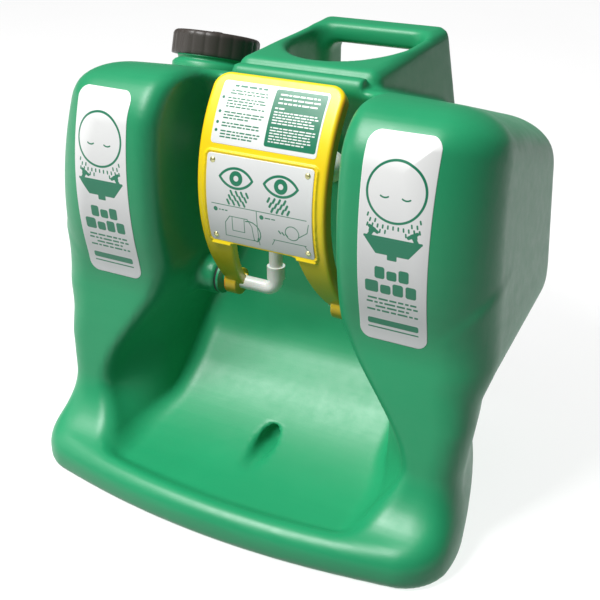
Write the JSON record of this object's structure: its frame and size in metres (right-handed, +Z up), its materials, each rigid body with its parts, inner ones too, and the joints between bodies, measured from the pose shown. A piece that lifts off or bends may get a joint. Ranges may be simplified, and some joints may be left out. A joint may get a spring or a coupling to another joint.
{
  "type": "portable gravity-fed eyewash station",
  "caption": "Moulded water tank with a catch basin, a swing-down arm that carries two spray heads, a screw filler cap and a wall bracket.",
  "frame": {"origin": "middle of the bounding box, on the surface that the base stands on", "axes": "+X to the right of the person who uses it, +Y back towards the wall, +Z up"},
  "size_m": [0.5338, 0.456, 0.4829],
  "materials": {
    "tank_green": "satin rotomoulded polyethylene with a fine orange-peel skin",
    "arm_yellow": "satin moulded plastic",
    "label_white": "smooth printed film and sheet",
    "pipe_white": "smooth white moulded plastic",
    "stainless": "brushed stainless steel",
    "seal_rubber": "matte seal rubber",
    "insert_brass": "turned brass",
    "cap_grey": "matte dark grey moulded plastic"
  },
  "bodies": {
    "tank": {"tank_shell": "tank_green", "side_label_left": "label_white", "side_label_right": "label_white", "outlet_fitting": "tank_green", "outlet_gasket": "seal_rubber", "outlet_nut": "pipe_white", "inlet_strainer": "pipe_white", "pivot_bush": "tank_green", "pivot_bush_nut": "pipe_white", "drain_spigot": "cap_grey", "drain_gasket": "seal_rubber", "wall_bracket": "stainless", "bracket_bolts": "stainless", "bracket_inserts": "insert_brass", "swivel_rings": "seal_rubber"},
    "cap_seal": {"cap_gasket": "seal_rubber"},
    "cap": {"fill_cap": "cap_grey", "cap_vent": "cap_grey"},
    "arm": {"activation_arm": "arm_yellow", "arm_label": "label_white", "instruction_plate": "label_white", "plate_rivets": "stainless", "swivel_elbow": "pipe_white", "riser_pipe": "pipe_white", "spray_tee": "pipe_white", "spray_head_left": "pipe_white", "spray_head_right": "pipe_white", "spray_discs": "stainless", "pipe_bracket": "pipe_white", "pipe_screws": "stainless", "pivot_pin": "stainless", "pivot_clip": "stainless"}
  },
  "joints": [
    {"name": "arm_swing", "type": "hinge", "parent": "tank", "child": "arm", "pos_m": [0, -0.03, 0.215], "axis": [1, 0, 0], "range_deg": [0, 90]},
    {"name": "cap_lift", "type": "slide", "parent": "tank", "child": "cap_seal", "axis": [0, 0.2924, 0.9563], "range_m": [0, 0.0151]},
    {"name": "cap_turn", "type": "hinge", "parent": "cap_seal", "child": "cap", "pos_m": [-0.177, 0.1, 0.43009], "axis": [0, 0.2924, 0.9563], "range_deg": [0, 900]}
  ],
  "couplings": [
    {"joint": "cap_lift", "follows": "cap_turn", "m_per_rad": 0.00095493}
  ]
}
